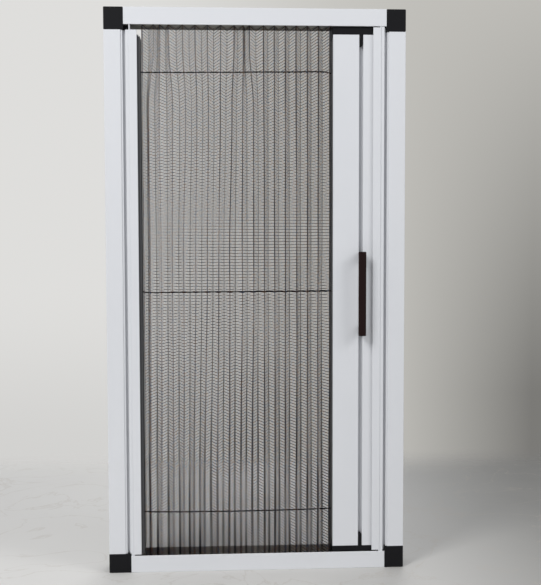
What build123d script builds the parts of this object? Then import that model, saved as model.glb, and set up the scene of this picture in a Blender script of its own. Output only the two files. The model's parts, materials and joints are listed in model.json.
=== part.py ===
"""Small retractable pleated screen door: four hollow profiles, corner blocks, a sliding pull bar,
a pleated mesh and its stretched cords. Millimetres, front towards -Y, right towards +X, up +Z,
origin at the middle of the base."""

import os

from build123d import *

# Overall size, over the corner blocks
door_width = 318.0
door_height = 600.0

# Frame profiles
profile_depth = 31.0
rail_face = 18.0
stile_face = 17.6
wall = 1.2
edge_radius = 0.5
rail_floor = 7.0  # from the rail's outer face to its channel's floor wall
seat_gap = 0.05  # between pieces that are pressed or screwed together

# Side channels, measured inward from the door's outer edge
edge_band = 1.8  # the set-back rib beside the stile's face
edge_band_drop = 1.2
slit_end = 22.6
slit_depth = 5.0
step_at = 26.1
step_drop = 0.8
lip_end = 34.5
left_lip_top_gap = 5.6  # under the top rail
right_lip_top_gap = 1.1
lip_bottom_gap = 1.6

# Corner blocks
block_wide = 20.5
block_tall = 23.5
block_proud = 0.5
block_chamfer = 0.7
shoulder_half_depth = 8.0
spigot_length = 16.0
spigot_play = 0.2
spigot_wall = 2.2

# Pull bar
bar_wide = 48.2
bar_end_gap = 1.5  # closed, to the right channel
bar_side_gap = 1.3  # to the walls of the channel it closes into
bar_foot_gap = 6.2  # above the bottom rail
bar_head_gap = 8.5  # below the top rail
groove_from_left = 29.9
groove_mouth = 4.4
groove_inner = 8.4
groove_lip = 1.3
groove_depth = 4.2
cap_end_gap = 1.6  # from a cap to the floor of its rail's channel
cap_side_gap = 1.5
cap_tab = 0.8
top_tab_drop = 3.6
bottom_tab_rise = 6.8
tongue_wide = 3.4
top_tongue = 13.0
bottom_tongue = 15.0

# Handles
handle_wide = 8.0
handle_long = 89.5
handle_below_middle = 0.6
handle_rise = 15.0
handle_thick = 3.8
handle_chamfer = 0.6
leg_wide = 3.8
leg_long = 9.0
leg_inset = 0.8  # from the grip's end to its leg
leg_head_play = 0.4
leg_head_thick = 2.0

# Mesh and cords
clip_shows = 3.3  # how far the left clip stands out of its channel
clip_head_gap = 12.0
bar_clip_wide = 1.1
clip_past_mesh = 0.3
mesh_side_gap = 2.4
mesh_thick = 0.35
mesh_pleats = 18
mesh_end_gap = 0.4
fold_round = 0.6
cord_radius = 0.55
cord_hole_radius = 0.8
lower_cord_up = 62.4
middle_cord_above_middle = 1.6
upper_cord_down = 65.5

half_width = door_width / 2
half_depth = profile_depth / 2
channel_floor = rail_floor + wall
slit_half_floor = half_depth - slit_depth
bar_right = half_width - step_at - wall - bar_end_gap
bar_left = bar_right - bar_wide
bar_depth = profile_depth - 2 * wall - 2 * bar_side_gap
bar_bottom = rail_face + bar_foot_gap
bar_top = door_height - rail_face - bar_head_gap
groove_centre = bar_left + groove_from_left
handle_centre_z = door_height / 2 - handle_below_middle
mesh_left = -half_width + lip_end + clip_shows
mesh_right = bar_left - bar_clip_wide
mesh_depth = profile_depth - 2 * wall - 2 * mesh_side_gap
mesh_bottom = channel_floor + mesh_end_gap
clip_half_depth = mesh_depth / 2 + clip_past_mesh
cord_heights = (
    lower_cord_up,
    door_height / 2 + middle_cord_above_middle,
    door_height - upper_cord_down,
)


def face_of(points):
    """A flat face through the points, in the plane's own two directions."""
    return make_face(Polyline(*points, close=True))


def mirrored(points):
    """Half an outline, x first, closed by its mirror image across y = 0."""
    return list(points) + [(u, -v) for u, v in reversed(points)]


def rounded(face, radius, keep):
    """Rounds the corners of a face that keep() picks."""
    picked = [v for v in face.vertices() if keep(v)]
    return fillet(picked, radius) if picked else face


def stile_section():
    """Hollow stile: u runs inward from the door's outer edge, v through its depth."""
    band_v = half_depth - edge_band_drop
    outline = mirrored([
        (0, half_depth),
        (stile_face, half_depth),
        (stile_face, band_v),
        (stile_face + edge_band, band_v),
        (stile_face + edge_band, band_v - wall),
        (stile_face, band_v - wall),
    ])
    face = face_of(outline)
    face = rounded(face, edge_radius, lambda v: abs(abs(v.Y) - half_depth) < 0.01)
    room = Pos(stile_face / 2, 0) * Rectangle(stile_face - 2 * wall, profile_depth - 2 * wall)
    return face - room


def side_channel_section():
    """Hat-shaped channel that the mesh or the pull bar closes into, same directions as the stile."""
    step_v = half_depth - step_drop
    outline = mirrored([
        (stile_face + seat_gap, slit_half_floor),
        (slit_end, slit_half_floor),
        (slit_end, step_v),
        (step_at, step_v),
        (step_at, half_depth),
        (lip_end, half_depth),
        (lip_end, half_depth - wall),
        (step_at + wall, half_depth - wall),
    ])
    face = face_of(outline)
    face = rounded(face, 0.4, lambda v: abs(abs(v.Y) - half_depth) < 0.01)
    hollow = mirrored([
        (stile_face + seat_gap + wall, slit_half_floor - wall),
        (slit_end + wall, slit_half_floor - wall),
        (slit_end + wall, step_v - wall),
        (step_at, step_v - wall),
    ])
    return face - face_of(hollow)


def rail_section():
    """Rail: v through its depth, w inward from its outer face; a closed chamber, then an open channel."""
    face = Pos(0, rail_face / 2) * Rectangle(profile_depth, rail_face)
    face = rounded(face, edge_radius, lambda v: True)
    inner = profile_depth - 2 * wall
    room = Pos(0, (wall + rail_floor) / 2) * Rectangle(inner, rail_floor - wall)
    deep = rail_face - rail_floor - wall
    channel = Pos(0, rail_face - deep / 2) * Rectangle(inner, deep + 0.002)
    return face - room - channel


def upright(section, side, low, high):
    """Extrudes a side section from low to high; side is -1 for the left and 1 for the right."""
    plane = Plane(origin=(side * half_width, 0, low), x_dir=(-side, 0, 0), z_dir=(0, 0, 1))
    return extrude(plane * section, amount=high - low)


def block_size(side, top):
    """Width and height of the block in one corner; the lower left one is fitted turned."""
    if side < 0 and not top:
        return block_tall, block_wide
    return block_wide, block_tall


def stile(side):
    low = block_size(side, False)[1] + seat_gap
    high = door_height - block_size(side, True)[1] - seat_gap
    return upright(stile_section(), side, low, high)


def has_shoulder(side, top):
    """Only the upper left block has a low shoulder beside it."""
    return top and side < 0


def back_cut(side, top):
    """How far inward the channel's hollow back is cut away beside a corner block."""
    wide = block_size(side, top)[0] + 2 * seat_gap
    if has_shoulder(side, top):
        return step_at
    return max(wide, slit_end + wall) if wide > slit_end else wide


def side_channel(side):
    """The channel's hollow back stops at the blocks; its web and lips run on towards the rails."""
    section = side_channel_section()
    back_low = block_size(side, False)[1] + 0.1
    back_high = door_height - block_size(side, True)[1] - 0.1
    lip_low = rail_face + lip_bottom_gap
    lip_high = door_height - rail_face - (left_lip_top_gap if side < 0 else right_lip_top_gap)
    web_low, web_high = rail_face + 0.1, door_height - rail_face - 0.1
    body = upright(section, side, web_low, web_high)
    deep = profile_depth + 2
    for low, high, top in ((web_low, back_low, False), (back_high, web_high, True)):
        if high > low:
            span = back_cut(side, top) - stile_face
            cut = Box(span, deep, high - low, align=(Align.MIN, Align.CENTER, Align.MIN))
            cut = Pos(stile_face, 0, low) * cut
            body -= mirror_side(cut, side)
    lips = lip_end - step_at - wall
    for low, high in ((web_low, lip_low), (lip_high, web_high)):
        cut = Box(lips + 1, deep, high - low, align=(Align.MIN, Align.CENTER, Align.MIN))
        cut = Pos(step_at + wall, 0, low) * cut
        body -= mirror_side(cut, side)
    return body


def mirror_side(shape, side):
    """Places a shape drawn with x running inward from the outer edge on the chosen side."""
    if side < 0:
        return Pos(-half_width, 0, 0) * shape
    return Pos(half_width, 0, 0) * mirror(shape, about=Plane.YZ)


def rail(top):
    """Top or bottom rail, between its two corner blocks."""
    left = -half_width + block_size(-1, top)[0] + seat_gap
    right = half_width - block_size(1, top)[0] - seat_gap
    start, inward = (door_height, -1) if top else (0.0, 1)
    plane = Plane(origin=(left, 0, start), x_dir=(0, inward, 0), z_dir=(1, 0, 0))
    return extrude(plane * rail_section(), amount=right - left)


def corner_block(side, top):
    """Corner block with a hollow leg into each profile and, at the upper left, a low shoulder."""
    wide, tall = block_size(side, top)
    deep = profile_depth + 2 * block_proud
    body = Pos(wide / 2, 0, tall / 2) * Box(wide, deep, tall)
    body = chamfer(body.edges(), block_chamfer)
    leg_deep = profile_depth - 2 * wall - 2 * spigot_play
    leg_wide = stile_face - 2 * wall - 2 * spigot_play
    leg = extrude(
        Plane(origin=(stile_face / 2, 0, tall - 2)) * (
            Rectangle(leg_wide, leg_deep) - Rectangle(leg_wide - 2 * spigot_wall, leg_deep - 2 * spigot_wall)
        ),
        amount=spigot_length + 2,
    )
    rail_leg_tall = rail_floor - wall - 2 * spigot_play
    rail_leg = extrude(
        Plane(origin=(wide - 2, 0, (wall + rail_floor) / 2), x_dir=(0, 1, 0), z_dir=(1, 0, 0))
        * RectangleRounded(leg_deep, rail_leg_tall, 0.8),
        amount=spigot_length + 2,
    )
    rail_room = Pos(wide + spigot_length / 2 + 1, 0, (wall + rail_floor) / 2) * Box(
        spigot_length, leg_deep - 2 * spigot_wall, rail_leg_tall + 1
    )
    body = body + leg + (rail_leg - rail_room)
    if has_shoulder(side, top):
        out = step_at - wide - 0.15
        rise = tall - rail_face - 0.1
        shoulder = Pos(wide - 1, 0, tall - rise) * Box(
            out + 1, 2 * shoulder_half_depth, rise, align=(Align.MIN, Align.CENTER, Align.MIN)
        )
        body += shoulder
    if top:
        body = Pos(0, 0, door_height) * mirror(body, about=Plane.XY)
    return mirror_side(body, side)


def bar_section():
    """Hollow pull bar with a T-slot down the middle of its front and of its back."""
    mid = (bar_left + bar_right) / 2
    face = RectangleRounded(bar_right - bar_left, bar_depth, 0.6)
    face = Pos(mid, 0) * face
    hollow = Pos(mid, 0) * Rectangle(bar_right - bar_left - 2 * wall, bar_depth - 2 * wall)
    skin = face - hollow
    for sign in (-1, 1):
        out = sign * bar_depth / 2
        trough_deep = groove_depth + wall
        trough = Pos(groove_centre, out - sign * trough_deep / 2) * Rectangle(
            groove_inner + 2 * wall, trough_deep
        )
        inner_deep = groove_depth - groove_lip
        inner = Pos(groove_centre, out - sign * (groove_lip + inner_deep / 2)) * Rectangle(
            groove_inner, inner_deep
        )
        mouth = Pos(groove_centre, out - sign * groove_lip / 2) * Rectangle(
            groove_mouth, groove_lip + 1.0
        )
        skin = skin + (trough & face) - inner - mouth
    return skin


def pull_bar():
    return extrude(Plane(origin=(0, 0, bar_bottom)) * bar_section(), amount=bar_top - bar_bottom)


def bar_cap(top):
    """End cap: a block that runs in the rail's channel, a tab beside the bar, tongues in its slots."""
    right = bar_right - 0.3
    left = bar_left - cap_tab
    cap_depth = profile_depth - 2 * wall - 2 * cap_side_gap
    rise = rail_face + (bar_head_gap if top else bar_foot_gap) - seat_gap - channel_floor - cap_end_gap
    body = Pos((left + right) / 2, 0, rise / 2) * Box(right - left, cap_depth, rise)
    body = chamfer(body.edges(), 0.7)
    room = Pos((bar_left + right) / 2, 0, rise / 2 + 2.5) * Box(
        right - bar_left - 5, cap_depth - 5, rise
    )
    body -= room
    tab_long = top_tab_drop if top else bottom_tab_rise
    tab = Pos(left + cap_tab / 2 - 0.05, 0, -tab_long / 2 + 0.4) * Box(
        cap_tab - 0.1, cap_depth - 1.4, tab_long + 0.8
    )
    body += tab
    long = top_tongue if top else bottom_tongue
    for sign in (-1, 1):
        outline = [
            (groove_centre - tongue_wide / 2, 1.0),
            (groove_centre + tongue_wide / 2, 1.0),
            (groove_centre + tongue_wide / 2, -long + 2.4),
            (groove_centre + tongue_wide / 2 - 1.2, -long + 0.5),
            (groove_centre - 0.4, -long),
            (groove_centre - tongue_wide / 2, -long + 0.9),
        ]
        plane = Plane(origin=(0, sign * (bar_depth / 2 - 2.6), 0), x_dir=(1, 0, 0), z_dir=(0, -1, 0))
        tongue = extrude(plane * face_of(outline), amount=-sign * 2.4)
        body += tongue
    if top:
        return Pos(0, 0, bar_top + seat_gap) * body
    return Pos(0, 0, bar_bottom - seat_gap) * mirror(body, about=Plane.XY)


def bar_mesh_clip():
    """Strip on the bar's trailing side that grips the mesh."""
    low = bar_bottom + bottom_tab_rise + 0.5
    high = bar_top - top_tab_drop - 0.9
    outline = [
        (mesh_right + 0.25, -clip_half_depth),
        (bar_left - seat_gap, -bar_depth / 2 + 0.3),
        (bar_left - seat_gap, bar_depth / 2 - 0.3),
        (mesh_right + 0.25, clip_half_depth),
    ]
    return extrude(Plane(origin=(0, 0, low)) * face_of(outline), amount=high - low)


def left_mesh_clip():
    """Strip in the left channel that grips the other end of the mesh."""
    web = -half_width + step_at + wall + seat_gap
    back = half_depth - wall - 0.4
    front = clip_half_depth
    outline = [
        (web, -back), (web + 1.6, -back), (web + 2.6, -front), (mesh_left - 0.25, -front),
        (mesh_left - 0.25, front), (web + 2.6, front), (web + 1.6, back), (web, back),
    ]
    room = Rectangle(mesh_left - web - 4.6, 2 * front - 2.6)
    section = face_of(outline) - Pos((web + mesh_left) / 2 + 0.2, 0) * room
    low = rail_face + lip_bottom_gap
    high = door_height - rail_face - clip_head_gap
    return extrude(Plane(origin=(0, 0, low)) * section, amount=high - low)


def handle(sign):
    """Pull handle: a flat grip on two narrow legs whose heads sit behind the lips of the bar's slot."""
    face = -bar_depth / 2
    back = face - handle_rise + handle_thick
    grip = Pos(groove_centre, back - handle_thick / 2, handle_centre_z) * Box(
        handle_wide, handle_thick, handle_long
    )
    grip = chamfer(grip.edges(), handle_chamfer)
    head_front = face + groove_lip + seat_gap
    for end in (-1, 1):
        z = handle_centre_z + end * (handle_long / 2 - leg_inset - leg_long / 2)
        leg = Pos(groove_centre, (back - handle_chamfer + head_front) / 2, z) * Box(
            leg_wide, head_front - back + handle_chamfer, leg_long
        )
        head = Pos(groove_centre, head_front + leg_head_thick / 2, z) * Box(
            groove_inner - 2 * leg_head_play, leg_head_thick, leg_long
        )
        grip = grip + leg + head
    return grip if sign < 0 else mirror(grip, about=Plane.XZ)


def pleat_points():
    """Fold positions of the mesh in plan, front and back in turn."""
    count = 2 * mesh_pleats
    step = (mesh_right - mesh_left) / count
    half = mesh_depth / 2 - fold_round
    return [(mesh_left + i * step, half if i % 2 == 0 else -half) for i in range(count + 1)]


def pleated_mesh():
    """Zigzag sheet of even thickness, pierced where the cords run through it."""
    line = pleat_points()
    step = line[1][0] - line[0][0]
    run = 2 * abs(line[0][1])
    mitre = mesh_thick / 2 * (step ** 2 + run ** 2) ** 0.5 / step
    front = [(x, y - mitre) for x, y in line]
    back = [(x, y + mitre) for x, y in line]
    section = face_of(front + back[::-1])
    height = door_height - rail_face - mesh_end_gap - mesh_bottom
    sheet = extrude(Plane(origin=(0, 0, mesh_bottom)) * section, amount=height)
    punch = RegularPolygon(cord_hole_radius, 6)
    start, end = mesh_left - cord_hole_radius, mesh_right + cord_hole_radius
    for z in cord_heights:
        plane = Plane(origin=(start, 0, z), z_dir=(1, 0, 0))
        sheet -= extrude(plane * punch, amount=end - start)
    return sheet


def cord(z):
    """Cord stretched between the two mesh clips."""
    left, right = mesh_left - 0.2, mesh_right + 0.2
    return Pos((left + right) / 2, 0, z) * Rot(0, 90, 0) * Cylinder(cord_radius, right - left)


def main():
    os.makedirs("parts", exist_ok=True)
    pieces = {
        "top_rail": rail(True),
        "bottom_rail": rail(False),
        "left_stile": stile(-1),
        "right_stile": stile(1),
        "left_side_channel": side_channel(-1),
        "right_side_channel": side_channel(1),
        "top_left_corner": corner_block(-1, True),
        "top_right_corner": corner_block(1, True),
        "bottom_left_corner": corner_block(-1, False),
        "bottom_right_corner": corner_block(1, False),
        "left_mesh_clip": left_mesh_clip(),
        "pull_bar": pull_bar(),
        "pull_bar_top_cap": bar_cap(True),
        "pull_bar_bottom_cap": bar_cap(False),
        "pull_bar_mesh_clip": bar_mesh_clip(),
        "front_handle": handle(-1),
        "rear_handle": handle(1),
        "pleated_mesh": pleated_mesh(),
        "cord_top": cord(cord_heights[2]),
        "cord_middle": cord(cord_heights[1]),
        "cord_bottom": cord(cord_heights[0]),
    }
    for node, shape in pieces.items():
        export_step(shape, f"parts/{node}.step")


if __name__ == "__main__":
    main()
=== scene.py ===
"""Finishes the small standing screen door: coated profiles, moulded corners and handles,
the pleated mesh with its cords, and the plain studio it is seen in."""

import json
import logging
import math
from dataclasses import dataclass, field
from enum import Enum

import bmesh
import bpy
from mathutils import Matrix, Vector, noise


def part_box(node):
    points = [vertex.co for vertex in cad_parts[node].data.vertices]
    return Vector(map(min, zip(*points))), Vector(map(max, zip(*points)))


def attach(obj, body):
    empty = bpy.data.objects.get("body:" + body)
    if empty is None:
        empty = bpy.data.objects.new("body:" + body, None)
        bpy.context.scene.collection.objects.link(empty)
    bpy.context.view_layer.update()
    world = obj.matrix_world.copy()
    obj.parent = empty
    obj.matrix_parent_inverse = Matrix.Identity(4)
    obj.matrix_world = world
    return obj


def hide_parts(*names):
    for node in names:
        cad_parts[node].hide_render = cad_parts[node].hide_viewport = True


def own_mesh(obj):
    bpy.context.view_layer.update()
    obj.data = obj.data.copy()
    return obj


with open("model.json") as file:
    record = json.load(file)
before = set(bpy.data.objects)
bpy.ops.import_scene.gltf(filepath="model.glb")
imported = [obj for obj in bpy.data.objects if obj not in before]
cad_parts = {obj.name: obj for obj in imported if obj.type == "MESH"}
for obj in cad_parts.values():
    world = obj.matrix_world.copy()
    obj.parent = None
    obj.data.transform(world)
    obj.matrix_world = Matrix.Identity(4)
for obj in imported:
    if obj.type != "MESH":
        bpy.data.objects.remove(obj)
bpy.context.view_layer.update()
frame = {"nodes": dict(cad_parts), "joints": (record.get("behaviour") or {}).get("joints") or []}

logging.basicConfig(level=logging.INFO, format="%(message)s")
log = logging.getLogger("screen_door")

MM = 0.001
PHOTO_WIDE, PHOTO_TALL = 541, 585
SLIDE = "pull_bar_slide"


class Fold(Enum):
    """Which way a crease of the mesh points, as the sign of its y."""

    FRONT = -1
    BACK = 1


class Body(Enum):
    """The body that the new pieces ride on: each is held at the frame."""

    FRAME = "frame"


Socket = bpy.types.NodeSocket
Colour = tuple[float, float, float]


class Wiring:
    """Adds and joins nodes in one tree, so that a finish reads as a list of steps."""

    def __init__(self, tree: bpy.types.NodeTree) -> None:
        """Keeps the tree that the nodes go into.

        Args:
            tree: The node tree.
        """
        self.tree = tree

    @classmethod
    def for_material(cls, name: str) -> tuple[bpy.types.Material, "Wiring"]:
        """Starts an empty material.

        Args:
            name: The material's name.

        Returns:
            The material and its wiring.
        """
        made = bpy.data.materials.new(name)
        made.use_nodes = True
        made.node_tree.nodes.clear()
        return made, cls(made.node_tree)

    def add(self, kind: str, inputs: dict | None = None, **settings) -> bpy.types.Node:
        """Adds a node.

        Args:
            kind: The node's type name, without its ShaderNode prefix.
            inputs: Values or sockets for its inputs, by name or number.
            settings: Properties set on the node itself.

        Returns:
            The new node.
        """
        node = self.tree.nodes.new(kind if kind.startswith("Node") else f"ShaderNode{kind}")
        for key, value in settings.items():
            setattr(node, key, value)
        for key, value in (inputs or {}).items():
            self.feed(node, key, value)
        return node

    def feed(self, node: bpy.types.Node, key: str | int, value) -> None:
        """Sets one input of a node to a value, or links a socket to it.

        Args:
            node: The node.
            key: The input's name or number.
            value: A plain value or another node's output.
        """
        if isinstance(value, Socket):
            self.tree.links.new(value, node.inputs[key])
        else:
            node.inputs[key].default_value = value

    def math(self, operation: str, a, b=0.5, c=0.5, clamp: bool = False) -> Socket:
        """Adds a Math node.

        Args:
            operation: What it does.
            a: Its first value or socket.
            b: Its second.
            c: Its third.
            clamp: Whether the result stays within 0 and 1.

        Returns:
            Its value socket.
        """
        node = self.add("Math", {0: a, 1: b, 2: c}, operation=operation, use_clamp=clamp)
        return node.outputs[0]

    def ramp(self, value, low: float, high: float, to_low: float = 0.0, to_high: float = 1.0) -> Socket:
        """Adds a smooth step.

        Args:
            value: The socket that drives it.
            low: The value where the step starts.
            high: The value where it ends.
            to_low: What comes out at its start.
            to_high: What comes out at its end.

        Returns:
            Its result socket.
        """
        node = self.add(
            "MapRange",
            {"Value": value, "From Min": low, "From Max": high, "To Min": to_low, "To Max": to_high},
            interpolation_type="SMOOTHSTEP",
        )
        return node.outputs["Result"]

    def mix(self, factor, a, b, blend: str = "MIX") -> Socket:
        """Adds a colour Mix node.

        Args:
            factor: How much of the second colour comes in.
            a: The first colour.
            b: The second.
            blend: How they mix.

        Returns:
            Its result socket.
        """
        node = self.add("Mix", data_type="RGBA", blend_type=blend)
        for key, value in ((0, factor), (6, a), (7, b)):
            self.feed(node, key, value)
        return node.outputs[2]

    def place(self) -> Socket:
        """Adds the piece's own coordinates.

        Returns:
            The Object socket of a Texture Coordinate node.
        """
        return self.add("TexCoord").outputs["Object"]

    def surface(self, shader: bpy.types.Node) -> None:
        """Sends a shader to the material's output.

        Args:
            shader: The shader node.
        """
        self.add("OutputMaterial", {"Surface": shader.outputs[0]})


def new_group(
    name: str, inputs: list[tuple[str, float]], outputs: list[str]
) -> tuple[bpy.types.NodeTree, Wiring, dict[str, Socket], bpy.types.Node]:
    """Starts a shader node group whose sockets all carry plain values.

    Args:
        name: The group's name.
        inputs: Name and default of each input.
        outputs: Name of each output.

    Returns:
        The group, its wiring, the sockets that bring its inputs in, and its output node.
    """
    group = bpy.data.node_groups.new(name, "ShaderNodeTree")
    for label, default in inputs:
        socket = group.interface.new_socket(label, in_out="INPUT", socket_type="NodeSocketFloat")
        socket.default_value = default
    for label in outputs:
        group.interface.new_socket(label, in_out="OUTPUT", socket_type="NodeSocketFloat")
    wires = Wiring(group)
    brought = wires.add("NodeGroupInput")
    return group, wires, {label: brought.outputs[label] for label, _ in inputs}, wires.add("NodeGroupOutput")


class SharedEffects:
    """The node groups that several finishes share, each built once."""

    def __init__(self) -> None:
        """Builds every group."""
        self.grain = self.make_grain()
        self.threads = self.make_threads()
        self.smudges = self.make_smudges()
        self.tint = self.make_tint()

    @staticmethod
    def make_tint() -> bpy.types.NodeTree:
        """Builds the short stretches in which the mesh's threads look cooler or warmer.

        Returns:
            A group whose Mask is 0 where they are cool and 1 where they are warm.
        """
        group, wires, given, gives = new_group("thread_tint", [("Scale", 330.0)], ["Mask"])
        noise_node = wires.add("TexNoise", {"Vector": wires.place(), "Scale": given["Scale"], "Detail": 1.0})
        wires.feed(gives, "Mask", wires.ramp(noise_node.outputs[0], 0.42, 0.58))
        return group

    @staticmethod
    def make_grain() -> bpy.types.NodeTree:
        """Builds the fine grain of coated metal and moulded plastic.

        Returns:
            A group that gives a height, a roughness and a shade.
        """
        group, wires, given, gives = new_group(
            "surface_grain",
            [("Grain Size", 1500.0), ("Roughness", 0.4), ("Roughness Swing", 0.05), ("Shade Swing", 0.03)],
            ["Height", "Roughness", "Shade"],
        )
        place = wires.place()
        fine = wires.add("TexNoise", {"Vector": place, "Scale": given["Grain Size"], "Detail": 2.0})
        broad = wires.add("TexNoise", {"Vector": place, "Scale": 9.0, "Detail": 3.0})
        centred = wires.math("SUBTRACT", broad.outputs[0], 0.5)
        wires.feed(gives, "Height", fine.outputs[0])
        rough = wires.math("MULTIPLY_ADD", centred, given["Roughness Swing"], given["Roughness"])
        wires.feed(gives, "Roughness", rough)
        wires.feed(gives, "Shade", wires.math("MULTIPLY_ADD", centred, given["Shade Swing"], 1.0))
        return group

    @staticmethod
    def make_threads() -> bpy.types.NodeTree:
        """Builds evenly spaced threads along one direction.

        Returns:
            A group whose Cover is 1 on a thread and 0 between two, and whose Height is its round top.
        """
        group, wires, given, gives = new_group(
            "thread_rows", [("Along", 0.0), ("Pitch", 0.0016), ("Width", 0.0003)], ["Cover", "Height"]
        )
        across = wires.math("PINGPONG", given["Along"], wires.math("MULTIPLY", given["Pitch"], 0.5))
        share = wires.math("DIVIDE", across, wires.math("MULTIPLY", given["Width"], 0.5))
        squared = wires.math("MULTIPLY", share, share)
        wires.feed(gives, "Cover", wires.math("LESS_THAN", share, 1.0))
        wires.feed(gives, "Height", wires.math("SUBTRACT", 1.0, squared, clamp=True))
        return group

    @staticmethod
    def make_smudges() -> bpy.types.NodeTree:
        """Builds the few faint handling marks that a clean coat picks up.

        Returns:
            A group whose Mask is 0 on clean coat and goes towards 1 inside a mark.
        """
        group, wires, given, gives = new_group("smudges", [("Scale", 22.0), ("Amount", 0.3)], ["Mask"])
        place = wires.place()
        spots = wires.add(
            "TexNoise", {"Vector": place, "Scale": given["Scale"], "Detail": 4.0, "Roughness": 0.6}
        )
        grit = wires.add("TexNoise", {"Vector": place, "Scale": 260.0, "Detail": 2.0})
        spot = wires.ramp(spots.outputs[0], 0.62, 0.78)
        speck = wires.ramp(grit.outputs[0], 0.7, 0.8)
        both = wires.math("MAXIMUM", spot, wires.math("MULTIPLY", speck, 0.6))
        wires.feed(gives, "Mask", wires.math("MULTIPLY", both, given["Amount"]))
        return group


@dataclass(frozen=True)
class RigidFinish:
    """A coated or moulded finish: plain colour, soft gloss and a fine grain."""

    name: str
    colour: Colour
    roughness: float
    grain_size: float
    grain_depth: float
    specular: float = 0.5
    roughness_swing: float = 0.06
    shade_swing: float = 0.03
    smudge: float = 0.0
    smudge_colour: Colour = (0.45, 0.42, 0.37)

    def tinted(self, wires: Wiring, effects: SharedEffects) -> Socket:
        """Gives the colour of the surface before its grain shades it.

        Args:
            wires: The material's wiring.
            effects: The shared node groups.

        Returns:
            A colour socket.
        """
        marks = wires.add("Group", node_tree=effects.smudges)
        wires.feed(marks, "Amount", self.smudge)
        return wires.mix(marks.outputs["Mask"], (*self.colour, 1.0), (*self.smudge_colour, 1.0))

    def material(self, effects: SharedEffects) -> bpy.types.Material:
        """Builds the finish.

        Args:
            effects: The shared node groups.

        Returns:
            The material.
        """
        made, wires = Wiring.for_material(self.name)
        grain = wires.add("Group", node_tree=effects.grain)
        for key, value in (
            ("Grain Size", self.grain_size),
            ("Roughness", self.roughness),
            ("Roughness Swing", self.roughness_swing),
            ("Shade Swing", self.shade_swing),
        ):
            wires.feed(grain, key, value)
        shaded = wires.mix(1.0, self.tinted(wires, effects), grain.outputs["Shade"], blend="MULTIPLY")
        bump = wires.add(
            "Bump", {"Height": grain.outputs["Height"], "Distance": self.grain_depth, "Strength": 0.5}
        )
        skin = wires.add("BsdfPrincipled", {"Specular IOR Level": self.specular})
        wires.feed(skin, "Base Color", shaded)
        wires.feed(skin, "Roughness", grain.outputs["Roughness"])
        wires.feed(skin, "Normal", bump.outputs["Normal"])
        wires.surface(skin)
        return made


@dataclass(frozen=True)
class ChannelFinish(RigidFinish):
    """A coat with painted shade on the walls inside an open channel, as on the two rails."""

    # Painted shade: the coat turns darker on the channel's inner walls.
    channel_shade_colour: Colour = (0.66, 0.65, 0.60)
    inside_half: float = 14.4 * MM
    middle: float = 300.0 * MM
    inside_reach: float = 298.5 * MM

    def tinted(self, wires: Wiring, effects: SharedEffects) -> Socket:
        """Gives the coat's colour, with painted shade on the walls of the channel."""
        outside = super().tinted(wires, effects)
        split = wires.add("SeparateXYZ", {0: wires.place()})
        deep = wires.math("LESS_THAN", wires.math("ABSOLUTE", split.outputs[1]), self.inside_half)
        above = wires.math("ABSOLUTE", wires.math("SUBTRACT", split.outputs[2], self.middle))
        inside = wires.math("MULTIPLY", deep, wires.math("LESS_THAN", above, self.inside_reach))
        return wires.mix(inside, outside, (*self.channel_shade_colour, 1.0))


@dataclass(frozen=True)
class RibbedFinish(RigidFinish):
    """Dull plastic with fine slanting ribs, as on the strips that grip the mesh."""

    rib_pitch: float = 2.1 * MM
    rib_width: float = 0.9 * MM
    rib_colour: Colour = (0.14, 0.14, 0.145)

    def tinted(self, wires: Wiring, effects: SharedEffects) -> Socket:
        """Gives the plastic's colour with the lighter ribs across it."""
        plain = super().tinted(wires, effects)
        split = wires.add("SeparateXYZ", {0: wires.place()})
        slant = wires.math("ADD", wires.math("ADD", split.outputs[0], split.outputs[1]), split.outputs[2])
        ribs = wires.add("Group", node_tree=effects.threads)
        for key, value in (("Along", slant), ("Pitch", self.rib_pitch), ("Width", self.rib_width)):
            wires.feed(ribs, key, value)
        return wires.mix(ribs.outputs["Height"], plain, (*self.rib_colour, 1.0))


@dataclass(frozen=True)
class TwistFinish(RigidFinish):
    """Thin twisted cord: its strands wind around it."""

    twist_pitch: float = 1.6 * MM
    strand_share: float = 0.6
    strand_colour: Colour = (0.016, 0.016, 0.017)

    def tinted(self, wires: Wiring, effects: SharedEffects) -> Socket:
        """Gives the cord's colour with the strands that catch the light."""
        split = wires.add("SeparateXYZ", {0: wires.place()})
        strands = wires.add("Group", node_tree=effects.threads)
        along = wires.math("ADD", split.outputs[0], split.outputs[2])
        wide = self.twist_pitch * self.strand_share
        for key, value in (("Along", along), ("Pitch", self.twist_pitch), ("Width", wide)):
            wires.feed(strands, key, value)
        return wires.mix(strands.outputs["Height"], (*self.colour, 1.0), (*self.strand_colour, 1.0))


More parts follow.
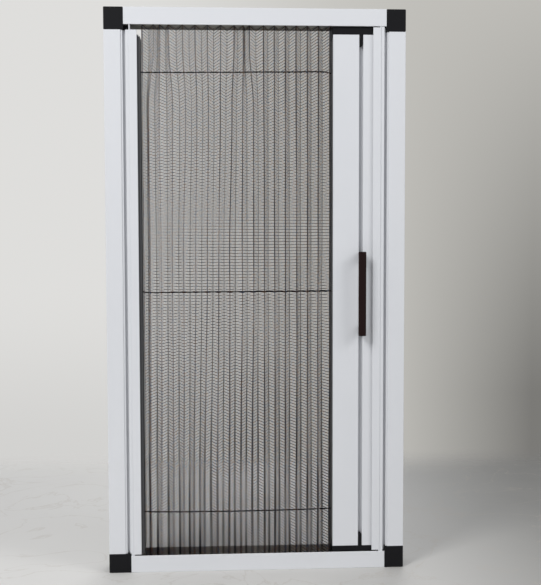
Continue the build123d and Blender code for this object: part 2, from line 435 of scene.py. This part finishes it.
@dataclass(frozen=True)
class WovenFinish:
    """Open woven mesh: dark threads on a UV map in metres, with nothing between them.

    Across the folds, every second thread is heavy and the others are light. The rows slant over each
    panel, more so away from one level, and the cloth is denser along its creases, where it also takes a
    darker colour as painted shade. Low on the left, every second panel has thicker threads as painted shade.
    """

    name: str
    panel: float
    wide: float
    low: float
    high: float
    colour: Colour = (0.009, 0.031, 0.076)
    warm: Colour = (0.105, 0.046, 0.012)
    # Painted shade: the darker colour that the threads take along the creases.
    crease_shade_colour: Colour = (0.012, 0.012, 0.014)
    weft_pitch: float = 1.6 * MM
    heavy_weft_middle: float = 0.75 * MM
    heavy_weft_ends: float = 1.0 * MM
    light_weft_middle: float = 0.45 * MM
    light_weft_ends: float = 0.2 * MM
    wobble: float = 0.4 * MM
    wobble_scale: float = 90.0
    # The level where the rows don't slant, and how their slant grows above and below it.
    fan_level: float = 0.37
    fan_high: float = 0.007
    fan_low: float = -0.0045
    fan_reach: float = 0.25
    # Painted shade low on the left: where it falls on every second panel, as a share of the cloth's width,
    # and how much thicker it makes the threads there.
    panel_shade_from: float = 0.3
    panel_shade_to: float = 0.6
    shaded_panel_cover: float = 0.45
    # How far the denser cloth reaches from a crease, how dense it is and how unevenly.
    front_reach: float = 3.0 * MM
    back_reach: float = 2.4 * MM
    reach_low: float = 6.3 * MM
    crease_cover_left: float = 0.35
    crease_cover_right: float = 1.0
    crease_firm_from: float = 0.7
    crease_low: float = 0.26
    back_cover_high: float = 0.35
    back_cover_low: float = 0.8
    uneven_across: float = 20.0
    uneven_up: float = 9.0
    least_pressed: float = 0.6

    def low_left(self, wires: Wiring, across: Socket, up: Socket) -> Socket:
        """Builds the part of the cloth, low down beside the left clip, where every second panel takes painted
        shade.

        Args:
            wires: The material's wiring.
            across: Distance along the cloth, across the folds.
            up: Height along the folds.

        Returns:
            A socket that is 1 in that part and 0 well away from it.
        """
        left = wires.ramp(across, self.wide * self.panel_shade_from, self.wide * self.panel_shade_to, 1.0, 0.0)
        return wires.math("MULTIPLY", left, wires.ramp(up, self.low, self.crease_low, 1.0, 0.0))

    def threads(
        self, wires: Wiring, effects: SharedEffects, across: Socket, up: Socket, panel_shade_zone: Socket
    ) -> Socket:
        """Builds the cover of the threads that run across the folds.

        Args:
            wires: The material's wiring.
            effects: The shared node groups.
            across: Distance along the cloth, across the folds.
            up: Distance along the folds.
            panel_shade_zone: Where every second panel takes painted shade.

        Returns:
            A socket that is 1 on a thread.
        """
        wobble = wires.add("TexNoise", {"Vector": wires.place(), "Scale": self.wobble_scale, "Detail": 1.0})
        bent = wires.math("MULTIPLY_ADD", wobble.outputs[0], self.wobble, up)
        back_share = wires.math("DIVIDE", wires.math("PINGPONG", across, self.panel), self.panel)
        front_share = wires.math("SUBTRACT", 1.0, back_share)
        over = wires.math("SUBTRACT", up, self.fan_level)
        below = wires.math("MULTIPLY", wires.math("MINIMUM", over, 0.0), self.fan_low)
        slant = wires.math("MULTIPLY_ADD", wires.math("MAXIMUM", over, 0.0), self.fan_high, below)
        fanned = wires.math("MULTIPLY_ADD", slant, front_share, bent)
        shifted = wires.math("ADD", fanned, self.weft_pitch)
        away = wires.math("ABSOLUTE", over)
        # Painted shade: low on the left, every second panel gets thicker threads.
        phase = wires.math("FRACT", wires.math("DIVIDE", across, 2 * self.panel))
        shaded_panel = wires.math("MULTIPLY", wires.math("LESS_THAN", phase, 0.5), panel_shade_zone)
        thicker = wires.math("MULTIPLY_ADD", shaded_panel, self.shaded_panel_cover, 1.0)
        covers = []
        for along, middle, ends in (
            (fanned, self.heavy_weft_middle, self.heavy_weft_ends),
            (shifted, self.light_weft_middle, self.light_weft_ends),
        ):
            row = wires.add("Group", node_tree=effects.threads)
            width = wires.math("MULTIPLY", wires.ramp(away, 0.0, self.fan_reach, middle, ends), thicker)
            for key, value in (("Along", along), ("Pitch", 2 * self.weft_pitch), ("Width", width)):
                wires.feed(row, key, value)
            covers.append(row.outputs["Cover"])
        return wires.math("MAXIMUM", *covers)

    def creases(self, wires: Wiring, across: Socket, up: Socket, panel_shade_zone: Socket) -> Socket:
        """Builds the denser cloth along the creases, where the threads bunch up.

        Args:
            wires: The material's wiring.
            across: Distance along the cloth, across the folds, 0 at a back crease.
            up: Height along the folds.
            panel_shade_zone: Where every second panel takes painted shade.

        Returns:
            A socket with the extra cover.
        """
        from_back = wires.math("PINGPONG", across, self.panel)
        from_front = wires.math("SUBTRACT", self.panel, from_back)
        place = wires.add(
            "CombineXYZ",
            {
                0: wires.math("MULTIPLY", across, self.uneven_across),
                1: wires.math("MULTIPLY", up, self.uneven_up),
            },
        )
        uneven = wires.add("TexNoise", {"Vector": place.outputs[0], "Scale": 1.0, "Detail": 1.0})
        pressed = wires.ramp(uneven.outputs[0], 0.3, 0.6, self.least_pressed, 1.0)
        firm_from = self.wide * self.crease_firm_from
        firm = wires.ramp(across, 0.0, firm_from, self.crease_cover_left, self.crease_cover_right)
        upright = wires.ramp(up, self.low, self.high, self.back_cover_low, self.back_cover_high)
        # Where that painted shade falls, the back creases take full cover.
        strength = wires.math("MAXIMUM", panel_shade_zone, upright)
        folds = []
        for away, reach, cover in (
            (from_front, self.front_reach, firm),
            (from_back, self.back_reach, strength),
        ):
            wide = wires.ramp(up, self.low, self.crease_low, self.reach_low, reach)
            near = wires.ramp(wires.math("DIVIDE", away, wide), 0.5, 1.0, 1.0, 0.0)
            folds.append(wires.math("MULTIPLY", near, cover))
        return wires.math("MULTIPLY", wires.math("MAXIMUM", *folds), pressed)

    def material(self, effects: SharedEffects) -> bpy.types.Material:
        """Builds the finish.

        Args:
            effects: The shared node groups.

        Returns:
            The material, open between its threads.
        """
        made, wires = Wiring.for_material(self.name)
        split = wires.add("SeparateXYZ", {0: wires.add("UVMap", uv_map="cloth").outputs[0]})
        across, up = split.outputs[0], split.outputs[1]
        panel_shade_zone = self.low_left(wires, across, up)
        creased = self.creases(wires, across, up, panel_shade_zone)
        threads = self.threads(wires, effects, across, up, panel_shade_zone)
        skin = wires.add("BsdfPrincipled", {"Roughness": 0.65, "Specular IOR Level": 0.2})
        tint = wires.add("Group", node_tree=effects.tint)
        tinted = wires.mix(tint.outputs["Mask"], (*self.colour, 1.0), (*self.warm, 1.0))
        # Along the creases the cloth is denser, and it also takes a darker colour as painted shade.
        wires.feed(skin, "Base Color", wires.mix(creased, tinted, (*self.crease_shade_colour, 1.0)))
        wires.feed(skin, "Alpha", wires.math("MAXIMUM", threads, creased))
        wires.surface(skin)
        return made


@dataclass(frozen=True)
class ThreadFinish(RigidFinish):
    """Thin coated thread that looks now cooler, now warmer along its length."""

    warm: Colour = (0.200, 0.086, 0.018)

    def tinted(self, wires: Wiring, effects: SharedEffects) -> Socket:
        """Gives the thread's colour, which shifts every few millimetres."""
        tint = wires.add("Group", node_tree=effects.tint)
        return wires.mix(tint.outputs["Mask"], (*self.colour, 1.0), (*self.warm, 1.0))


@dataclass(frozen=True)
class Finishes:
    """Every rigid finish of the door."""

    coat: RigidFinish = RigidFinish("white_coat", (0.69, 0.70, 0.725), 0.4, 2200.0, 0.02 * MM, smudge=0.05)
    rail_coat: RigidFinish = ChannelFinish(
        "rail_coat", (0.69, 0.70, 0.725), 0.4, 2200.0, 0.02 * MM, smudge=0.05
    )
    corner: RigidFinish = RigidFinish(
        "corner_plastic", (0.0065, 0.0065, 0.0078), 0.45, 1800.0, 0.05 * MM, specular=0.16
    )
    handle: RigidFinish = RigidFinish(
        "handle_plastic", (0.0125, 0.0040, 0.0036), 0.4, 1800.0, 0.04 * MM, specular=0.16
    )
    clip: RigidFinish = RibbedFinish(
        "clip_plastic", (0.056, 0.056, 0.058), 0.6, 1500.0, 0.05 * MM, specular=0.2
    )
    # Painted light: a lighter copy of the clip plastic, with lighter ribs, for the clip on the bar.
    bar_clip_painted_light: RigidFinish = RibbedFinish(
        "bar_clip_painted_light_plastic",
        (0.085, 0.085, 0.087),
        0.6,
        1500.0,
        0.05 * MM,
        specular=0.2,
        rib_colour=(0.24, 0.24, 0.245),
    )
    cord: RigidFinish = TwistFinish(
        "cord_fibre", (0.004, 0.004, 0.004), 0.7, 4000.0, 0.05 * MM, specular=0.05
    )
    thread: RigidFinish = ThreadFinish(
        "mesh_thread", (0.014, 0.044, 0.105), 0.6, 4000.0, 0.02 * MM, specular=0.2
    )


@dataclass
class Assembly:
    """A group of CAD nodes that take one finish."""

    label: str
    nodes: tuple[str, ...]
    finish: RigidFinish

    def build(self, effects: SharedEffects) -> None:
        """Gives every node of the group its finish.

        Args:
            effects: The shared node groups.
        """
        material = self.finish.material(effects)
        for node in self.nodes:
            piece = frame["nodes"][node]
            piece.data.materials.clear()
            piece.data.materials.append(material)
            log.info("%s: %s takes %s", self.label, node, self.finish.name)


def finished(shape: bmesh.types.BMesh, name: str, material: bpy.types.Material) -> bpy.types.Object:
    """Turns a bmesh into a scene object with one material.

    Args:
        shape: The bmesh, which is freed.
        name: The object's name.
        material: Its material.

    Returns:
        The object, at the origin and unturned.
    """
    mesh = bpy.data.meshes.new(name)
    shape.to_mesh(mesh)
    shape.free()
    mesh.materials.append(material)
    piece = bpy.data.objects.new(name, mesh)
    bpy.context.scene.collection.objects.link(piece)
    return piece


@dataclass(frozen=True)
class CordHang:
    """How far one cord stands above its holes at its left, at its right and in the middle."""

    node: str
    left: float
    right: float
    middle: float = 0.0


CORD_HANGS = (
    CordHang("cord_top", left=0.0, right=2.2 * MM, middle=-0.3 * MM),
    CordHang("cord_middle", left=-1.15 * MM, right=0.0),
    CordHang("cord_bottom", left=-0.6 * MM, right=-0.4 * MM, middle=-1.0 * MM),
)


@dataclass
class Cords:
    """The three cords that run through the folds, stretched between the two clips."""

    finish: RigidFinish
    # How far a cord strays from its line, and how quickly, along x and from cord to cord.
    wave: float = 0.25 * MM
    wave_noise: tuple[float, float] = (28.0, 40.0)
    sides: int = 8
    steps: int = 48
    # The power that keeps a cord straight until just before its holes.
    hold: int = 28
    # The loose fibres around a cord make it look thicker.
    fuzz: float = 1.3

    def centre_line(self, low: Vector, high: Vector, hang: CordHang) -> list[Vector]:
        """Gives the points that one cord runs through.

        Args:
            low: Lower corner of its node.
            high: Upper corner.
            hang: How it hangs between the holes in the clips.

        Returns:
            Points from the left clip's hole to the right one's.
        """
        middle = (low + high) / 2
        along, apart = self.wave_noise
        points = []
        for step in range(self.steps + 1):
            share = step / self.steps
            x = low.x + (high.x - low.x) * share
            slant = hang.left + (hang.right - hang.left) * share + hang.middle * 4 * share * (1 - share)
            tied = 1 - (2 * share - 1) ** self.hold
            wave = noise.noise(Vector((x * along, middle.z * apart, 0.3))) * self.wave
            points.append(Vector((x, middle.y, middle.z + (slant + wave) * tied)))
        return points

    def tube(self, points: list[Vector], radius: float) -> bmesh.types.BMesh:
        """Draws a round tube through the points.

        Args:
            points: The points, in order.
            radius: Its radius.

        Returns:
            The tube, closed at both ends.
        """
        shape = bmesh.new()
        turn = Matrix.Rotation(math.radians(90), 4, "Y")
        bmesh.ops.create_circle(
            shape,
            cap_ends=True,
            radius=radius,
            segments=self.sides,
            matrix=Matrix.Translation(points[0]) @ turn,
        )
        shape.faces.ensure_lookup_table()
        end = shape.faces[0]
        for start, stop in zip(points, points[1:]):
            grown = bmesh.ops.extrude_face_region(shape, geom=[end])["geom"]
            verts = [item for item in grown if isinstance(item, bmesh.types.BMVert)]
            bmesh.ops.translate(shape, verts=verts, vec=stop - start)
            end = next(item for item in grown if isinstance(item, bmesh.types.BMFace))
        bmesh.ops.recalc_face_normals(shape, faces=shape.faces)
        for face in shape.faces:
            face.smooth = True
        return shape

    def build(self, effects: SharedEffects, anchor: float, keep: float) -> None:
        """Builds the cords.

        Args:
            effects: The shared node groups.
            anchor: The x of the end that stays; not used.
            keep: The share of its length that is left when the bar is fully open; not used.
        """
        material = self.finish.material(effects)
        for hang in CORD_HANGS:
            low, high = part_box(hang.node)
            points = self.centre_line(low, high, hang)
            radius = self.fuzz * (high.z - low.z) / 2
            piece = finished(self.tube(points, radius), f"{hang.node}_line", material)
            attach(piece, Body.FRAME.value)
            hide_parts(hang.node)
            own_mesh(piece)
            log.info("cords: %s", piece.name)


@dataclass
class PleatedMesh:
    """The mesh: one long sheet creased into narrow pleats between its two clips.

    The front creases have their x in millimetres at the height where none has wandered. Each row of
    wander has a height and how far the first creases stand to the right there, also in millimetres.
    """

    fronts: tuple[float, ...] = (
        -119.2, -112.6, -101.0, -89.2, -77.4, -64.8, -52.0, -40.2, -28.6,
        -14.8, -2.6, 8.7, 19.8, 31.2, 43.1, 54.9, 66.3, 78.8,
    )
    wander: tuple[tuple[float, tuple[float, ...]], ...] = (
        (70.0, (-0.2, -1.4, -1.4, -0.7, -1.1, -2.9, -4.2, -2.5, -1.3, -2.6, -2.5)),
        (330.0, (0.0,) * 11),
        (500.0, (-0.6, -0.8, -0.8, 1.4, 3.3, 2.1, 2.0, 2.7, 3.4, 0.7, -0.2)),
        (560.0, (0.1, 4.8, 0.6, -2.2, 0.4, 0.8, 1.4, 3.3, 5.8, 1.4, -4.2)),
    )
    inset: float = 0.6 * MM
    head_rise: float = 1.7 * MM
    steps: int = 6
    rows: int = 96
    # A crease sways slowly and ripples quickly with height, and a panel bulges where it is slack. Each
    # noise has a step from crease to crease, a step with height in metres and a seed.
    sway: float = 0.6 * MM
    sway_noise: tuple[float, float, float] = (3.7, 4.0, 0.5)
    ripple: float = 0.5
    ripple_noise: tuple[float, float, float] = (7.1, 17.0, 4.5)
    slack: float = 0.35 * MM
    slack_noise: tuple[float, float, float] = (1.3, 9.0, 8.0)
    threads_a_panel: int = 15
    thread_radius: float = 0.065 * MM
    thread_sides: int = 3
    thread_steps: int = 32
    low: Vector = field(init=False)
    high: Vector = field(init=False)

    def __post_init__(self) -> None:
        """Reads the room that the mesh keeps to, and lets its upper edge reach into the open rail."""
        self.low, self.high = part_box("pleated_mesh")
        self.high.z += self.head_rise

    @property
    def panels(self) -> int:
        """The number of flat strips between creases."""
        return 2 * len(self.fronts)

    @property
    def panel(self) -> float:
        """The length of cloth in one strip."""
        wide = (self.high.x - self.low.x) / self.panels
        return math.hypot(wide, self.high.y - self.low.y - self.inset)

    def front(self, number: int, height: float) -> float:
        """Gives the x of one front crease, in millimetres.

        Args:
            number: The crease's number from the left.
            height: Height above the floor.

        Returns:
            Its place halfway up, plus how far it has wandered at this height.
        """
        middle = self.fronts[number]
        if number >= len(self.wander[0][1]):
            return middle
        up = height / MM
        pairs = zip(self.wander, self.wander[1:])
        below, above = next((pair for pair in pairs if up <= pair[1][0]), self.wander[-2:])
        share = min(max((up - below[0]) / (above[0] - below[0]), 0.0), 1.0)
        eased = share * share * (3 - 2 * share)
        return middle + below[1][number] * (1 - eased) + above[1][number] * eased

    @staticmethod
    def stray(steps: tuple[float, float, float], across: float, height: float) -> float:
        """Gives a smooth random value.

        Args:
            steps: How quickly it changes across and with height, and its seed.
            across: Number of creases or panels from the left clip.
            height: Height above the floor.

        Returns:
            A value between about -1 and 1.
        """
        return noise.noise(Vector((across * steps[0], height * steps[1], steps[2])))

    def crease(self, index: int, height: float) -> Vector:
        """Gives one point of a crease.

        Args:
            index: The crease's number from the left clip, even ones at the back.
            height: Height above the floor.

        Returns:
            The point.
        """
        fold = Fold.FRONT if index % 2 else Fold.BACK
        y = self.low.y + self.inset / 2 if fold is Fold.FRONT else self.high.y - self.inset / 2
        if index == 0:
            return Vector((self.low.x, y, height))
        if index == self.panels:
            return Vector((self.high.x, y, height))
        x = self.front(index // 2, height) * MM
        if fold is Fold.BACK:
            x = (self.front(index // 2 - 1, height) * MM + x) / 2
        x += self.stray(self.sway_noise, index, height) * self.sway
        x += self.stray(self.ripple_noise, index, height) * self.sway * self.ripple
        return Vector((x, y, height))

    def point(self, across: float, height: float) -> Vector:
        """Gives one point of the sheet.

        Args:
            across: Position in panels from the left clip.
            height: Height above the floor.

        Returns:
            The point, a little off the flat panel where the cloth is slack.
        """
        index = min(int(across), self.panels - 1)
        share = across - index
        flat = self.crease(index, height).lerp(self.crease(index + 1, height), share)
        give = self.stray(self.slack_noise, across, height) * self.slack * math.sin(math.pi * share)
        return flat + Vector((give, 0.0, 0.0))

    def sheet(self) -> bmesh.types.BMesh:
        """Draws the creased sheet and maps it in metres of cloth.

        Returns:
            The sheet.
        """
        columns = self.panels * self.steps
        tall = self.high.z - self.low.z
        shape = bmesh.new()
        cloth = shape.loops.layers.uv.new("cloth")
        bmesh.ops.create_grid(shape, x_segments=columns, y_segments=self.rows, size=0.5)
        for vert in shape.verts:
            across = round((vert.co.x + 0.5) * columns) / self.steps
            height = self.low.z + round((vert.co.y + 0.5) * self.rows) / self.rows * tall
            for loop in vert.link_loops:
                loop[cloth].uv = (across * self.panel, height)
            vert.co = self.point(across, height)
        return shape

    def upright_threads(self) -> bmesh.types.BMesh:
        """Draws the threads that run along the folds, as thin rods cut from one grid and rolled up.

        Returns:
            The rods, each closed at both ends.
        """
        count = self.panels * self.threads_a_panel
        stride = self.thread_sides + 1
        columns = count * stride - 1
        shape = bmesh.new()
        bmesh.ops.create_grid(shape, x_segments=columns, y_segments=self.thread_steps, size=0.5)
        between = [
            face
            for face in shape.faces
            if int((face.calc_center_median().x + 0.5) * columns) % stride == self.thread_sides
        ]
        bmesh.ops.delete(shape, geom=between, context="FACES")
        for vert in shape.verts:
            thread, corner = divmod(round((vert.co.x + 0.5) * columns), stride)
            share = round((vert.co.y + 0.5) * self.thread_steps) / self.thread_steps
            height = self.low.z + share * (self.high.z - self.low.z)
            angle = 2 * math.pi * (corner % self.thread_sides) / self.thread_sides
            round_it = Vector((math.cos(angle), math.sin(angle), 0.0)) * self.thread_radius
            vert.co = self.point((thread + 0.5) / self.threads_a_panel, height) + round_it
        bmesh.ops.remove_doubles(shape, verts=shape.verts, dist=self.thread_radius / 100)
        ends = [edge for edge in shape.edges if edge.is_boundary]
        bmesh.ops.holes_fill(shape, edges=ends, sides=self.thread_sides)
        bmesh.ops.recalc_face_normals(shape, faces=shape.faces)
        return shape

    def follow_bar(self, piece: bpy.types.Object) -> None:
        """Lets a piece of the mesh ride on the frame.

        Args:
            piece: The piece.
        """
        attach(piece, Body.FRAME.value)
        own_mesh(piece)
        log.info("mesh: %s", piece.name)

    def build(self, effects: SharedEffects, thread: RigidFinish, keep: float) -> None:
        """Builds the sheet with its upright threads.

        Args:
            effects: The shared node groups.
            thread: The finish of the upright threads.
            keep: The share of its width that is left when the bar is fully open; not used.
        """
        flat = (self.panels * self.panel, self.high.z - self.low.z)
        finish = WovenFinish("screen_cloth", self.panel, flat[0], self.low.z, self.high.z)
        sheet = finished(self.sheet(), "screen_mesh", finish.material(effects))
        self.follow_bar(sheet)
        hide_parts("pleated_mesh")
        threads = finished(self.upright_threads(), "screen_upright_threads", thread.material(effects))
        self.follow_bar(threads)
        log.info("mesh: %d panels, %.3f by %.3f m when flat", self.panels, *flat)


@dataclass(frozen=True)
class SoftBox:
    """One lamp: where it stands, how large it is and how strong."""

    name: str
    place: tuple[float, float, float]
    size: tuple[float, float]
    power: float
    colour: Colour = (1.0, 1.0, 1.0)
    aim: tuple[float, float, float] = (0.0, 0.0, 0.3)


@dataclass
class Studio:
    """Camera, lamps, floor and the pale surroundings."""

    eye: tuple[float, float, float] = (-51.88 * MM, -1141.74 * MM, 370.22 * MM)
    yaw: float = 3.391
    pitch: float = -3.515
    roll: float = -0.126
    focal_px: float = 1060.0
    sensor: float = 36.0
    # The wall: its colours, darker to the right as painted shade, then slopes of the line of sight, sideways
    # and upward, where they change.
    wall_left: Colour = (0.735, 0.73, 0.715)
    wall_shaded_right: Colour = (0.535, 0.525, 0.495)
    wall_shade_turn: tuple[float, float] = (-0.1, 0.2)
    foot_rise: tuple[float, float] = (-0.05, -0.22)
    foot_shade: float = 0.12
    shade_across: tuple[float, float] = (0.165, 0.312)
    shade_down: tuple[float, float] = (0.25, -0.16)
    shade_facing: tuple[float, float] = (0.8, 0.92)
    shade_strength: float = 0.63
    glow_colour: Colour = (0.95, 0.97, 1.0)
    glow_strength: float = 0.5
    # The floor: its size, where it fades out behind the door, its colours, darker to the right as painted
    # shade, and its veins.
    floor_half: float = 3.0
    floor_fade: tuple[float, float] = (0.4, 0.6)
    stone_left: Colour = (0.655, 0.645, 0.625)
    stone_shaded_right: Colour = (0.17, 0.167, 0.156)
    stone_shade_turn: tuple[float, float] = (-0.02, 0.46)
    cloud_colour: Colour = (0.5, 0.47, 0.43)
    cloud_share: float = 0.08
    vein_colour: Colour = (0.40, 0.35, 0.29)
    vein_share: float = 0.22
    vein_width: float = 0.012
    lamps: tuple[SoftBox, ...] = (
        SoftBox("left_box", (-1.00, -1.23, 1.45), (0.55, 0.9), 21.0),
        SoftBox("right_box", (1.42, -1.02, 1.25), (0.8, 0.9), 10.1),
        SoftBox("rear_box", (0.3, 1.6, 1.5), (1.0, 1.0), 10.0),
    )

    def camera(self) -> None:
        """Places the camera where the picture was taken from."""
        yaw, pitch, roll = (math.radians(angle) for angle in (self.yaw, self.pitch, self.roll))
        ahead = Vector((math.sin(yaw) * math.cos(pitch), math.cos(yaw) * math.cos(pitch), math.sin(pitch)))
        level = Vector((math.cos(yaw), -math.sin(yaw), 0.0))
        upright = level.cross(ahead)
        right = level * math.cos(roll) + upright * math.sin(roll)
        up = upright * math.cos(roll) - level * math.sin(roll)
        data = bpy.data.cameras.new("camera")
        data.sensor_width = self.sensor
        data.lens = self.focal_px / max(PHOTO_WIDE, PHOTO_TALL) * self.sensor
        camera = bpy.data.objects.new("camera", data)
        camera.matrix_world = Matrix.Translation(self.eye) @ Matrix((right, up, -ahead)).transposed().to_4x4()
        bpy.context.scene.collection.objects.link(camera)
        bpy.context.scene.camera = camera

    def light(self, box: SoftBox) -> None:
        """Adds one lamp.

        Args:
            box: The lamp's description.
        """
        data = bpy.data.lights.new(box.name, "AREA")
        data.shape = "RECTANGLE"
        data.size, data.size_y = box.size
        data.energy = box.power
        data.color = box.colour
        lamp = bpy.data.objects.new(box.name, data)
        lamp.location = box.place
        lamp.rotation_euler = (Vector(box.aim) - Vector(box.place)).to_track_quat("-Z", "Y").to_euler()
        bpy.context.scene.collection.objects.link(lamp)
        log.info("studio: %s", box.name)

    def surroundings(self) -> None:
        """Makes the wall that is seen behind the door, and the even light that comes from all around."""
        world = bpy.data.worlds.new("surroundings")
        bpy.context.scene.world = world
        world.use_nodes = True
        world.node_tree.nodes.clear()
        wires = Wiring(world.node_tree)
        way = wires.add("SeparateXYZ", {0: wires.add("TexCoord").outputs["Generated"]}).outputs
        ahead = wires.math("MAXIMUM", wires.math("ABSOLUTE", way[1]), 0.001)
        side = wires.math("DIVIDE", way[0], ahead)
        rise = wires.math("DIVIDE", way[2], ahead)
        # Painted shade: the wall darkens towards the right.
        turn = wires.ramp(side, *self.wall_shade_turn)
        wall = wires.mix(turn, (*self.wall_left, 1.0), (*self.wall_shaded_right, 1.0))
        foot = wires.ramp(rise, *self.foot_rise, 0.0, self.foot_shade)
        shades = []
        for value, (start, end) in ((side, self.shade_across), (rise, self.shade_down)):
            straight = wires.add("MapRange", {"Value": value, "From Min": start, "From Max": end})
            shades.append(straight.outputs["Result"])
        facing = wires.ramp(way[1], *self.shade_facing)
        shade = wires.math("MULTIPLY", wires.math("MULTIPLY", *shades), facing)
        darker = wires.math("MAXIMUM", wires.math("MULTIPLY", shade, self.shade_strength), foot)
        wall = wires.mix(darker, wall, (0.0, 0.0, 0.0, 1.0))
        seen = wires.add("LightPath").outputs
        shown = wires.add("Background", {"Color": wall, "Strength": 1.0})
        glow = {"Color": (*self.glow_colour, 1.0), "Strength": self.glow_strength}
        light = wires.add("Background", glow)
        through = wires.math("MAXIMUM", seen["Is Camera Ray"], seen["Is Transmission Ray"])
        both = wires.add("MixShader", {0: through, 1: light.outputs[0], 2: shown.outputs[0]})
        wires.add("OutputWorld", {"Surface": both.outputs[0]})

    def floor(self) -> None:
        """Lays a pale stone floor that fades into the wall behind the door."""
        made, wires = Wiring.for_material("floor_stone")
        place = wires.place()
        split = wires.add("SeparateXYZ", {0: place}).outputs
        alpha = wires.ramp(wires.math("ABSOLUTE", split[1]), *self.floor_fade, 1.0, 0.0)
        cloud = wires.add("TexNoise", {"Vector": place, "Scale": 5.0, "Detail": 5.0})
        vein = wires.add("TexNoise", {"Vector": place, "Scale": 7.0, "Detail": 8.0, "Distortion": 1.2})
        from_vein = wires.math("ABSOLUTE", wires.math("SUBTRACT", vein.outputs[0], 0.5))
        line = wires.ramp(from_vein, 0.0, self.vein_width, self.vein_share, 0.0)
        # Painted shade: the stone darkens towards the right.
        turn = wires.ramp(split[0], *self.stone_shade_turn)
        stone = wires.mix(turn, (*self.stone_left, 1.0), (*self.stone_shaded_right, 1.0))
        clouded = wires.ramp(cloud.outputs[0], 0.3, 0.7, 0.0, self.cloud_share)
        stone = wires.mix(clouded, stone, (*self.cloud_colour, 1.0))
        stone = wires.mix(line, stone, (*self.vein_colour, 1.0))
        skin = wires.add("BsdfPrincipled", {"Roughness": 0.6})
        wires.feed(skin, "Base Color", stone)
        wires.feed(skin, "Alpha", alpha)
        wires.surface(skin)
        shape = bmesh.new()
        bmesh.ops.create_grid(shape, x_segments=1, y_segments=1, size=self.floor_half)
        finished(shape, "floor", made)

    def build(self) -> None:
        """Builds the camera, the surroundings, the floor and the lamps."""
        self.camera()
        self.surroundings()
        self.floor()
        for box in self.lamps:
            self.light(box)


def kept_share(left: float, right: float) -> float:
    """Works out how much of the mesh's width is left when the bar is fully open.

    Args:
        left: The x of the mesh's fixed end.
        right: The x of its moving end, closed.

    Returns:
        The share that is left.
    """
    joint = next(joint for joint in frame["joints"] if joint["name"] == SLIDE)
    return 1 - max(joint["range_m"]) / (right - left)


def main() -> None:
    """Builds the studio, then the door's finishes, its mesh and its cords."""
    bpy.context.scene.view_settings.view_transform = "Standard"
    Studio().build()
    effects = SharedEffects()
    finishes = Finishes()
    for assembly in (
        Assembly("rails", ("top_rail", "bottom_rail"), finishes.rail_coat),
        Assembly(
            "uprights",
            ("left_stile", "right_stile", "left_side_channel", "right_side_channel"),
            finishes.coat,
        ),
        Assembly(
            "corners",
            ("top_left_corner", "top_right_corner", "bottom_left_corner", "bottom_right_corner"),
            finishes.corner,
        ),
        Assembly("pull bar", ("pull_bar",), finishes.coat),
        Assembly("pull bar ends", ("pull_bar_top_cap", "pull_bar_bottom_cap"), finishes.corner),
        Assembly("left mesh clip", ("left_mesh_clip",), finishes.clip),
        Assembly("bar mesh clip", ("pull_bar_mesh_clip",), finishes.bar_clip_painted_light),
        Assembly("handles", ("front_handle", "rear_handle"), finishes.handle),
    ):
        assembly.build(effects)
    mesh = PleatedMesh()
    keep = kept_share(mesh.low.x, mesh.high.x)
    mesh.build(effects, finishes.thread, keep)
    Cords(finishes.cord).build(effects, mesh.low.x, keep)


if __name__ == "__main__":
    main()
